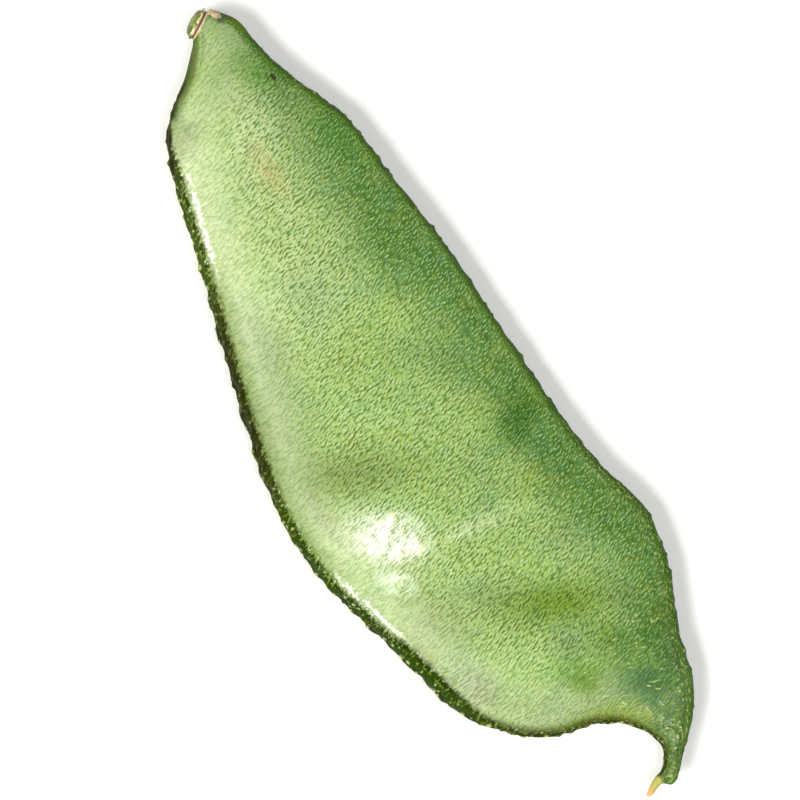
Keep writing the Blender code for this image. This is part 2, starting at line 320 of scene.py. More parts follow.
def bulges(x, y, side):
    total = np.zeros_like(x)
    for seed_x, seed_y, over, under in SEEDS:
        dx, dy = x - seed_x, y - seed_y
        along = dx * math.cos(SEED_LEAN) + dy * math.sin(SEED_LEAN)
        aside = dy * math.cos(SEED_LEAN) - dx * math.sin(SEED_LEAN)
        near = np.exp(-((along / SEED_LONG) ** 2) - (aside / SEED_SHORT) ** 2)
        total += (over if side > 0 else under) * near
    return total


def noise_at(*coordinates):
    """Smooth noise from -1 to 1 at many places, given as three arrays or numbers."""
    stacked = np.stack(np.broadcast_arrays(*coordinates), axis=-1)
    values = np.array([noise.noise(Vector(place)) for place in stacked.reshape(-1, 3)])
    return values.reshape(stacked.shape[:-1])


def scattered_along(end, kind, chance):
    """A row of warts on each side of a rib: how far along, where on its wall, height and reach."""
    gap, high, reach, at = kind
    rows = []
    for side in (1, -1):
        place = chance.uniform(*gap)
        while place < end:
            rows.append(
                (place, side * chance.uniform(*at), chance.uniform(*high), chance.uniform(*reach))
            )
            place += chance.uniform(*gap)
    return np.array(rows)


def warts_of(margin, chance):
    end = margin.along[-1] - WART_FREE_END
    return np.concatenate([scattered_along(end, kind, chance) for kind in (WARTS, TEETH)])


def dots_in_beak(chance):
    """Places of the small warts that thicken towards the beak and its neck."""
    rows = []
    for _ in range(DOTS_IN_BEAK):
        x = DOTS_END - DOTS_LONG * chance.random() ** DOTS_CROWD
        y = chance.uniform(*DOTS_ACROSS)
        rows.append((x, y, chance.uniform(*DOT_HIGH), chance.uniform(*DOT_REACH)))
    return np.array(rows)


def humps(along, aside, rows):
    """Height of the warts at these places, and how much of a wart's top is there, to 1."""
    height, top = np.zeros(np.broadcast(along, aside).shape), 0.0
    for place, at, high, reach in rows:
        near = np.exp(-(((along - place) ** 2 + (aside - at) ** 2) / reach**2))
        height += high * near
        top = np.maximum(top, near)
    return height, top


def wall_relief(margin, wall, side, rows, seed):
    """What stands out of a rib's wall: suture, ridges, waves, strokes and warts."""
    along = margin.along[:, None]
    aside = side * wall[None, :]
    sized = (margin.reach / RIB_WIDTH)[:, None]
    relief = -SUTURE_DEPTH * np.exp(-((aside / SUTURE_SPREAD) ** 2))
    relief = relief + RIDGE_HIGH * np.exp(-(((abs(aside) - RIDGE_AT) / RIDGE_SPREAD) ** 2))
    waves = EDGE_WAVE_HIGHS[0 if margin.sign > 0 else 1]
    rough = waves * noise_at(along / EDGE_WAVE_LONG, aside / EDGE_WAVE_WIDE, seed)
    drift = COMB_DRIFT * noise_at(along / COMB_DRIFT_LONG, aside / COMB_DRIFT_WIDE, seed + COMB_SEED)
    strokes = np.sin(2 * math.pi * along / COMB_PITCH + drift)
    rough = rough + COMB_HIGH * strokes * smoothstep(abs(aside), *COMB_AT)
    height, top = humps(along, aside, rows)
    grown = smoothstep(along, *ROUGH_FROM)
    fade = 1 - smoothstep(wall / wall[-1], *CREST_FADE)[None, :]
    return (relief + (rough + height) * grown) * sized * fade, top * fade * grown


def rib_side(margin, angles, wall, side, rows, seed):
    """Plan places and heights over (1) or under (-1) the middle of a rib, and its warts' tops."""
    out, top = wall_relief(margin, wall, side, rows, seed)
    cos, sin = np.cos(angles)[None, :], np.sin(angles)[None, :]
    reach, rib = margin.reach[:, None], margin.rib[:, None]
    back = reach * (1 - cos**RIB_SQUARE) - out * cos
    height = rib * sin**RIB_SQUARE + out * sin
    places = margin.edge[:, None, :] + margin.inward[:, None, :] * back[..., None]
    return places, height, top


def face_places(low, high):
    """Plan places from the crest of one rib to the other's, and their shares of the way."""
    start = low.edge + low.inward * low.reach[:, None]
    end = high.edge + high.inward * high.reach[:, None]
    even = np.linspace(0.0, 1.0, FACE_STEPS + 1)
    t = (even - EDGE_DENSE * np.sin(2 * math.pi * even) / (2 * math.pi))[None, :, None]
    pull = length_of(end - start)[:, None, :] * BEND
    leave, arrive = low.inward[:, None, :] * pull, -high.inward[:, None, :] * pull
    return smooth_way(t, start[:, None, :], leave, end[:, None, :], arrive), t[..., 0]


def from_rib_to_rib(low_rib, face, high_rib):
    """Half of every ring. The crests are in the ribs' points, so the face's own ends are left out."""
    return np.concatenate([low_rib, face[:, 1:-1], high_rib[:, ::-1]], axis=1)


class Rings:
    """The rings of the pod: its two ribs with their warts, and the valves between them."""

    def __init__(self):
        self.plan = Plan()
        self.chance = random.Random(CHANCE)
        places = ring_places(self.plan)
        skew = skew_at(places)
        self.low_places, self.high_places = places + skew, places - skew
        self.low = Margin(self.plan, self.low_places, False)
        self.high = Margin(self.plan, self.high_places, True)
        self.angles, self.wall = rib_angles()
        self.low_warts = warts_of(self.low, self.chance)
        self.high_warts = warts_of(self.high, self.chance)
        self.face, self.share = face_places(self.low, self.high)
        dense = np.linspace(0.0, self.plan.end, MARGIN_POINTS)
        self.from_low = self.from_crest(self.low, Margin(self.plan, dense, False).edge)
        self.from_high = self.from_crest(self.high, Margin(self.plan, dense, True).edge)

    def from_crest(self, margin, edge):
        """How far each place of the face is from a rib's crest."""
        return np.maximum(distances(self.face, edge) - margin.reach[:, None], 0.0)

    def model_height(self, side):
        """Height of a valve over the plane between the valves, as the model has it."""
        own = self.low_places[:, None] * (1 - self.share) + self.high_places[:, None] * self.share
        rows = self.plan.at(own)
        valve, rib = rows[..., 4], rows[..., 5]
        width = np.maximum(self.from_low + self.from_high, 1e-6)
        from_middle = abs(self.from_low - self.from_high) / width
        height = rib + (valve - rib) * (1 - from_middle**VALVE_FULLNESS)
        bulge = bulges(self.face[..., 0], self.face[..., 1], side)
        return height + bulge * (1 - from_middle**BULGE_FADE)

    def fine_height(self, side):
        """What the skin adds to that: shoulders, grooves, wrinkles and puckers."""
        x, y = self.face[..., 0], self.face[..., 1]
        width = self.from_low + self.from_high
        grown = smoothstep(width, *GROWN_WIDTHS)
        height = np.zeros_like(x)
        for rise, depth, away in zip(SHOULDERS, GROOVE_DEPTHS, (self.from_low, self.from_high)):
            clear = 1 - np.exp(-((away / SHOULDER_STEEP) ** 2))
            height += rise * grown * clear * np.exp(-((away / SHOULDER_FADE) ** 2))
            height -= depth * grown * np.exp(-(((away - GROOVE_AT) / GROOVE_SPREAD) ** 2))
        near = np.minimum(self.from_low, self.from_high)
        ring = ((self.low_places + self.high_places) / 2)[:, None]
        across = self.share * width
        wrinkles = noise_at(ring / WRINKLE_PITCH, across / WRINKLE_LONG, side * WRINKLE_SEED)
        wrinkles *= smoothstep(near, 0.0, WRINKLE_CLEAR)
        wrinkles *= WRINKLE_LEAST + (1 - WRINKLE_LEAST) * smoothstep(self.from_low, *WRINKLE_GROWS)
        aside = (x - RUBBED_AT[0]) / RUBBED_REACH[0], (y - RUBBED_AT[1]) / RUBBED_REACH[1]
        height += WRINKLE_HIGH * wrinkles * (1 - RUBBED_SHARE * np.exp(-aside[0] ** 2 - aside[1] ** 2))
        pucker = noise_at(x / PUCKER_SIZE, y / PUCKER_SIZE, side * PUCKER_SEED)
        return height + PUCKER_HIGH * pucker * smoothstep(near, 0.0, PUCKER_CLEAR)

    def half(self, side):
        """Half of every ring, over (1) or under (-1) the ribs' middle, and what its points carry."""
        low_rib, low_height, low_top = rib_side(
            self.low, self.angles, self.wall, side, self.low_warts, LOW_RIB_SEED
        )
        high_rib, high_height, high_top = rib_side(
            self.high, self.angles, self.wall, side, self.high_warts, HIGH_RIB_SEED
        )
        dots, dot_top = humps(self.face[..., 0], self.face[..., 1], dots_in_beak(self.chance))
        open_skin = smoothstep(np.minimum(self.from_low, self.from_high), 0.0, DOT_CLEAR)
        height = self.model_height(side) + self.fine_height(side) + dots * open_skin
        on_rib = np.broadcast_to(self.wall - self.wall[-1], low_height.shape)
        far = np.full(low_height.shape, FAR_AWAY)
        low_away = from_rib_to_rib(on_rib, self.from_low, far)
        high_away = from_rib_to_rib(far, self.from_high, on_rib)
        places = from_rib_to_rib(low_rib, self.face, high_rib)
        x, y = places[..., 0], places[..., 1]
        drift = GRAIN_DRIFT * np.exp(-np.maximum(low_away, 0.0) / GRAIN_DRIFT_REACH)
        grain_x = x + GRAIN_LEAN * y + drift + SIDES_APART * side
        grain_y = y + np.minimum(low_away, 0.0) - np.minimum(high_away, 0.0)
        return dict(
            places=places,
            heights=side * from_rib_to_rib(low_height, height, high_height),
            low_away=low_away,
            high_away=high_away,
            wart=from_rib_to_rib(low_top, dot_top * open_skin, high_top),
            skin=np.stack([grain_x, grain_y, np.full(x.shape, float(side))], axis=-1),
        )

    def whole(self):
        """Whole rings, from the low rib's middle over the pod and back under it."""
        upper, lower = self.half(1), self.half(-1)
        return {
            key: np.concatenate([upper[key], lower[key][:, 1:-1][:, ::-1]], axis=1) for key in upper
        }


def end_rings(last, before, sizes, reach):
    """Smaller rings beyond the last one, which round off an end."""
    middle = last.mean(axis=0)
    out = unit(middle - before.mean(axis=0))
    return np.array([
        middle + (last - middle) * size + out * MM * reach * math.sqrt(1 - size * size)
        for size in sizes
    ])


def skin_faces(rings, around, mirrored=False):
    """Faces between rings of points, and one at each end."""
    one = np.arange(rings - 1)[:, None] * around
    k = np.arange(around)[None, :]
    after = (k + 1) % around
    two = one + around
    corners = [one + k, one + after, two + after, two + k]
    ends = [list(reversed(range(around))), list(range((rings - 1) * around, rings * around))]
    if mirrored:
        corners = [corners[0], corners[3], corners[2], corners[1]]
        ends = [end[::-1] for end in ends]
    return np.stack(corners, axis=-1).reshape(-1, 4).tolist() + ends


def add_piece(name, points, faces, material):
    mesh = bpy.data.meshes.new(name)
    mesh.from_pydata(points, [], faces)
    mesh.shade_smooth()
    mesh.materials.append(material)
    piece = bpy.data.objects.new(name, mesh)
    bpy.context.scene.collection.objects.link(piece)
    return piece


def build_pod(material):
    traits = Rings().whole()
    x, y = traits["places"][..., 0], traits["places"][..., 1]
    points = world(x, y, lift(x) + traits["heights"])
    tip = end_rings(points[-1], points[-2], TIP_RINGS, TIP_ROUND)
    stem = end_rings(points[0], points[1], STEM_RINGS, STEM_ROUND)
    points = np.concatenate([stem, points, tip])
    faces = skin_faces(*points.shape[:2], mirrored=True)
    pod = add_piece("hyacinth_bean_pod", points.reshape(-1, 3).tolist(), faces, material)
    for name in ("low_away", "high_away", "wart", "skin"):
        kind, part = ("FLOAT_VECTOR", "vector") if name == "skin" else ("FLOAT", "value")
        values = traits[name]
        ends = [(len(stem), len(tip))] + [(0, 0)] * (values.ndim - 1)
        spread = np.pad(values, ends, mode="edge").astype(np.float32).ravel()
        pod.data.attributes.new(name, kind, "POINT").data.foreach_set(part, spread)
    return pod


def turned_piece(name, material, profile, ragged, grain, seed):
    """A piece round the stem end's axis."""
    out = Vector((*AXIS, 0.0)).normalized()
    aside = Vector((0.0, 0.0, 1.0)).cross(out)
    upward = out.cross(aside)
    start = Vector((AXIS_FROM[0] - LENGTH / 2, AXIS_FROM[1], lift(AXIS_FROM[0])))
    points = []
    for radius, along in profile:
        for step in range(TURNED_STEPS):
            angle = 2 * math.pi * step / TURNED_STEPS
            cos, sin = math.cos(angle), math.sin(angle)
            spot = Vector((cos * TURNED_ROUND, sin * TURNED_ROUND, seed + along * TURNED_ALONG))
            wide = radius * (1 + ragged * noise.noise(spot * RAGGED_FINE))
            far = along + grain * noise.noise(spot * GRAIN_FINE + GRAIN_SHIFT)
            place = start + out * far + aside * (wide * cos) + upward * (wide * FLATTENED * sin)
            points.append((place * MM)[:])
    return add_piece(name, points, skin_faces(len(profile), TURNED_STEPS), material)


class Graph:
    """Short ways to add shader nodes. A value that is a node's output is linked, and any other is set."""

    def __init__(self, name):
        self.material = bpy.data.materials.new(name)
        self.material.use_nodes = True
        self.tree = self.material.node_tree
        self.shader = self.tree.nodes["Principled BSDF"]

    def feed(self, socket, value):
        if isinstance(value, bpy.types.NodeSocket):
            self.tree.links.new(value, socket)
        elif isinstance(value, tuple) and len(value) == 3 and socket.type == "RGBA":
            socket.default_value = (*value, 1.0)
        else:
            socket.default_value = value

    def shade(self, **inputs):
        """Feed the shader's inputs, named with _ for a space."""
        for name, value in inputs.items():
            self.feed(self.shader.inputs[name.replace("_", " ")], value)

    def add(self, kind, inputs=(), **settings):
        node = self.tree.nodes.new(kind)
        for name, value in settings.items():
            setattr(node, name, value)
        for name, value in dict(inputs).items():
            self.feed(node.inputs[name], value)
        return node

    def attribute(self, name, output="Fac"):
        return self.add("ShaderNodeAttribute", attribute_name=name).outputs[output]

    def maths(self, operation, one, two=0.0, three=0.0, clamp=False):
        return self.add(
            "ShaderNodeMath", {0: one, 1: two, 2: three}, operation=operation, use_clamp=clamp
        ).outputs[0]

    def times(self, first, *others):
        for other in others:
            first = self.maths("MULTIPLY", first, other)
        return first

    def most(self, first, *others):
        for other in others:
            first = self.maths("MAXIMUM", first, other)
        return first

    def line(self, value, slope, start):
        return self.maths("MULTIPLY_ADD", value, slope, start)

    def scaled(self, vector, factors, shift=(0.0, 0.0, 0.0)):
        return self.add(
            "ShaderNodeVectorMath", {0: vector, 1: factors, 2: shift}, operation="MULTIPLY_ADD"
        ).outputs[0]

    def noise(self, vector, scale, detail=2.0, roughness=0.5, output="Fac"):
        return self.add(
            "ShaderNodeTexNoise",
            {"Vector": vector, "Scale": scale, "Detail": detail, "Roughness": roughness},
        ).outputs[output]

    def ramp(self, value, start, end, low=0.0, high=1.0):
        """value from start to end as low to high, smoothly, and held outside."""
        return self.add(
            "ShaderNodeMapRange",
            {"Value": value, "From Min": start, "From Max": end, "To Min": low, "To Max": high},
            interpolation_type="SMOOTHSTEP",
        ).outputs["Result"]

    def band(self, value, rise, fall):
        """1 between a rise and a fall, each given by its two ends, and 0 outside them."""
        return self.times(self.ramp(value, *rise), self.ramp(value, *fall, low=1.0, high=0.0))

    def mix(self, share, one, two, blend="MIX"):
        node = self.add("ShaderNodeMix", data_type="RGBA", blend_type=blend)
        self.feed(node.inputs[0], share)
        self.feed(node.inputs[6], one)
        self.feed(node.inputs[7], two)
        return node.outputs[2]

    def bump(self, height, distance):
        """The shader's normal from a height, whose 1 is this far, in millimetres."""
        inputs = {"Height": height, "Strength": 1.0, "Distance": distance * MM}
        self.shade(Normal=self.add("ShaderNodeBump", inputs).outputs["Normal"])

    def plan(self):
        """Places in the plan, in millimetres."""
        place = self.add("ShaderNodeTexCoord").outputs["Object"]
        return self.scaled(
            place, (1 / MM, 1 / MM, 1 / MM), (LENGTH / 2, LOW_EDGE + WIDTH / 2, 0.0)
        )


# Colours of the skin, linear
# partly the skin's own deeper green, partly painted shade of the high side, turned from the lamp
DEEP_GREEN_AND_SHADE = (0.040, 0.125, 0.008)
# painted highlight on the wrinkles' tops by the high margin
DEEP_TOP_HIGHLIGHT = (0.400, 0.620, 0.250)
PALE_GREEN = (0.246, 0.385, 0.098)
BLUE_GREEN = (0.110, 0.260, 0.090)
YELLOW_GREEN = (0.260, 0.340, 0.050)
BEAK_GREEN = (0.050, 0.134, 0.032)
NECK_GREEN = (0.045, 0.090, 0.010)
# painted shade in the gaps between wrinkles
GAP_SHADE = (0.060, 0.130, 0.010)
# partly the skin's waxy bloom, partly painted sheen of the lamp on the low side; also laid as painted
# highlights
WAX_AND_SHEEN = (0.520, 0.595, 0.310)
# whiter: partly the waxy bloom, partly painted sheen along the low margin and the painted hot spot
BLOOM_AND_SHEEN = (0.640, 0.660, 0.500)
BAY_OLIVE = (0.210, 0.270, 0.036)
BAY_BROWN = (0.055, 0.045, 0.008)
# painted highlight along the low rib's crest
CREST_HIGHLIGHT = (0.800, 0.830, 0.700)
LOW_RIB = (0.030, 0.058, 0.001)
LOW_RIB_DEEP = (0.016, 0.038, 0.001)
LOW_RIB_BROWN = (0.012, 0.012, 0.001)
LOW_TOOTH = (0.130, 0.190, 0.020)
# painted shade beside the low rib's crest
SHADE_TINT = (0.58, 0.64, 0.42)
GLINT = (0.520, 0.600, 0.370)
# the rib's own deeper green, with painted shade where the edges curve away
HIGH_RIB_AND_SHADE = (0.045, 0.105, 0.010)
WART = (0.440, 0.500, 0.190)
SPECKLE = (0.330, 0.400, 0.170)
TAN = (0.440, 0.350, 0.130)
BROWN = (0.036, 0.038, 0.003)
RIB_SHEEN = (0.14, 0.18, 0.03)
WHITE = (1.0, 1.0, 1.0)

# Colours of the stem end and the style
OLIVE = (0.115, 0.150, 0.012)
STEM_OLIVE = (0.060, 0.070, 0.008)
# painted shade by the stalk
STEM_SHADE = (0.050, 0.075, 0.040)
STEM_TAN = (0.600, 0.440, 0.270)
RIM_CREAM = (0.700, 0.600, 0.330)
RIM_BROWN = (0.110, 0.070, 0.030)
STALK_DARK = (0.050, 0.100, 0.006)
STALK_LIGHT = (0.190, 0.230, 0.025)
STYLE_GREEN = (0.420, 0.410, 0.100)
STYLE_TIP = (0.640, 0.350, 0.130)

# Stretches of the pod by x, each from where its look starts to where it is full
BEFORE_BEAK = (72.0, 62.0)
BEAK = (69.0, 79.0)
NECK = (76.5, 80.5)
WAX_SHEEN_NARROWS = (26.0, 38.0)
WAX_SHEEN_THINS = (30.0, 42.0)
FINE_BY_STALK = (14.0, 6.0)  # stretches where the wrinkles stay clear beside the low margin
FINE_BY_LOBE = (58.0, 66.0)
TOP_HIGHLIGHT_FAINTER = (68.0, 78.0)
LOW_RIB_DEEPER = (40.0, 48.0)
NARROW_BY_STALK = (13.0, 6.0)
NARROW_IN_BAY = (68.0, 74.0)
HIGH_RIB_WIDER = (47.0, 53.0)
HIGH_RIB_FAINTER = (73.0, 78.0)
BEADED = (48.0, 56.0)
SPECKLED = (66.0, 72.0)
STEM_END = (11.0, 5.0)

# Stretches that end again: where each starts and is full, and where it fades and ends
EDGE_BLOOM_SHEEN = ((5.0, 10.0), (73.0, 77.0))
BAY = ((73.0, 76.5), (77.5, 80.0))
RIB_WIDER = ((58.0, 62.0), (67.0, 71.0))
# stretches where the crest's painted highlight is strong and its painted shade left out
RIB_BRIGHT = (((11.0, 14.0), (19.0, 24.0)), ((50.0, 54.0), (58.0, 61.0)))
RIB_BLACK = ((20.0, 28.0), (38.0, 46.0))
SHADE_BESIDE = ((12.0, 20.0), (62.0, 72.0))
BROWN_EDGE = ((3.5, 6.0), (11.0, 14.0))
BEAK_SHINE = ((72.0, 76.0), (79.0, 82.0))

# Distances from a rib's crest, from where a look starts to where it is full. Below 0 is its wall.
DEEP_AND_SHADE_BY_HIGH = (8.5, 2.5)
WAX_SHEEN_BY_LOW = (16.5, 6.0)
BLOOM_SHEEN_BY_LOW = (5.0, 0.3)
OLIVE_BY_LOW = (1.7, 0.3)
CLEAR_BY_LOW = (1.0, 7.0)
SHADE_BY_LOW = (1.4, -0.1)
LOW_RIB_WALL = (-0.05, -0.70)
BROWNER_WALL = (-1.0, -0.6)
TOOTH_WALL = (-1.3, -0.8)
BAY_WALL = (0.1, -0.7)
HIGH_RIB_WALL = (0.4, -0.7)
STEM_WALL = (0.25, -0.6)
BROWN_WALL = (-0.5, -1.1)
OPEN_SKIN = (-0.3, 0.2)
CREST_HIGHLIGHT_LINE = ((-0.25, -0.05), (0.12, 0.34))
GLINT_LINE = ((-1.0, -0.6), (-0.2, 0.1))
BEAD_LINE = ((-0.9, -0.5), (0.2, 0.6))
SPECKLE_LINE = ((-1.2, -0.8), (0.5, 1.4))

# Stretches of the style by y
STYLE_STARTS, STYLE_ENDS = (2.7, 2.2), (1.6, 1.0)

# Ovals: middle, reaches and lean
# painted highlight: the hot spot on the biggest seed's low slope
HOT_SPOT_HIGHLIGHT = ((51.0, -8.6), (7.2, 4.2), 0.7)
TAN_OVAL = ((16.0, 0.9), (4.6, 1.9), 0.1)
SPECK_OVAL = ((9.0, 6.5), (0.55, 0.4), 0.0)
OLIVE_OVAL = ((3.4, 6.9), (2.6, 1.1), 0.35)
SHADE_OVAL = ((1.75, 5.1), (1.0, 0.6), 0.5)
TORN_OVAL = ((0.80, 4.85), (1.6, 0.75), 0.65)
STYLE_OVAL = ((84.3, 1.6), (2.0, 1.6), 0.0)

# Places where the bloom is rubbed off, by the biggest seed: ovals, and how much of it
RUBBED = (
    ((51.2, -7.8), (6.4, 3.8), 0.95, 1.0),
    ((55.3, -9.3), (3.8, 1.9), 0.65, 0.9),
    ((54.6, 0.0), (5.5, 1.5), 1.42, 0.8),
)
# Painted highlights where seeds, ridges and shoulders face the lamp: ovals, and the share of the pale
# waxy colour laid there
PAINTED_HIGHLIGHTS = (
    ((11.5, 1.8), (6.0, 4.0), -0.3, 0.55),
    ((54.8, 1.0), (6.5, 1.7), 1.42, 0.40),
    ((73.0, -4.0), (2.4, 5.0), -0.2, 0.10),
    ((76.3, 3.2), (3.2, 1.4), 1.0, 0.10),
    ((77.8, 7.2), (2.0, 1.4), 0.0, 0.14),
    ((4.0, 2.8), (3.2, 2.8), 0.5, 0.30),
)
# Painted shade in the hollows between seeds and on slopes turned from the lamp, partly the skin's own
# olive there: ovals, and the colour to multiply by
DIPS_AND_SHADE = (
    ((64.5, 2.4), (10.0, 3.8), 1.12, (0.48, 0.56, 0.12)),
    ((44.3, -8.0), (9.0, 3.8), 1.15, (0.66, 0.64, 0.54)),
    ((48.0, 9.5), (6.0, 3.2), 1.9, (0.58, 0.72, 0.40)),
    ((8.2, 5.8), (4.8, 2.8), 0.5, (0.58, 0.80, 0.42)),
    ((28.0, -2.0), (4.0, 4.0), 0.0, (0.80, 0.84, 0.86)),
    ((15.5, 8.5), (7.0, 3.5), 0.35, (0.75, 0.95, 0.70)),
    ((70.5, 0.5), (4.5, 2.4), 1.0, (0.78, 0.88, 0.60)),
    ((37.0, -11.0), (9.0, 6.0), 0.0, (0.76, 0.76, 0.76)),
    ((60.5, -8.0), (7.0, 5.0), 0.3, (0.84, 0.80, 0.86)),
    ((60.5, -2.5), (5.0, 3.0), 1.2, (0.84, 0.82, 0.80)),
    ((30.0, -8.0), (7.0, 3.5), 0.0, (0.78, 0.78, 0.84)),
    ((67.5, -8.0), (4.0, 3.0), 0.4, (0.82, 0.74, 0.96)),
    ((72.3, 0.9), (3.0, 2.2), 0.9, (0.50, 0.62, 0.20)),
    ((69.9, 4.8), (3.6, 2.8), 0.9, (0.58, 0.68, 0.40)),
    ((74.3, 4.6), (2.8, 2.2), 0.9, (0.64, 0.78, 0.74)),
    ((76.1, 6.4), (3.2, 1.9), 0.6, (0.46, 0.60, 0.42)),
    ((75.1, 9.1), (2.4, 1.6), -0.9, (0.76, 0.82, 0.66)),
    ((71.0, 10.0), (4.4, 2.4), -0.9, (0.74, 0.82, 0.58)),
    ((72.2, -4.8), (3.4, 2.6), 1.0, (0.86, 0.86, 0.80)),
    ((9.6, -3.8), (3.0, 2.2), -0.9, (0.72, 0.70, 0.68)),
    ((68.7, 1.0), (3.2, 2.6), 0.9, (0.80, 0.78, 0.86)),
    ((70.0, -6.6), (2.6, 2.0), 0.9, (0.82, 0.88, 0.80)),
    ((67.5, 8.0), (4.0, 2.6), 0.6, (0.84, 0.86, 1.00)),
    ((50.0, 9.0), (7.5, 2.8), 0.2, (0.82, 0.86, 0.86)),
    ((60.0, 6.5), (4.5, 3.0), 1.1, (0.86, 0.88, 1.00)),
    ((38.5, 4.5), (5.5, 3.0), 1.1, (0.78, 0.86, 0.90)),
    ((46.0, -12.0), (4.0, 2.0), 0.1, (0.86, 0.78, 0.84)),
)

# Wrinkles in the skin's look, in millimetres along its grain and across it
SWELLING = (0.28, 0.50)
STROKE_SIZE, STROKE_WAVES, STROKE_STRAIGHT = 0.43, 1.25, 0.80
SKIN_BUMP, RIM_BUMP, STALK_BUMP = 0.14, 0.12, 0.10


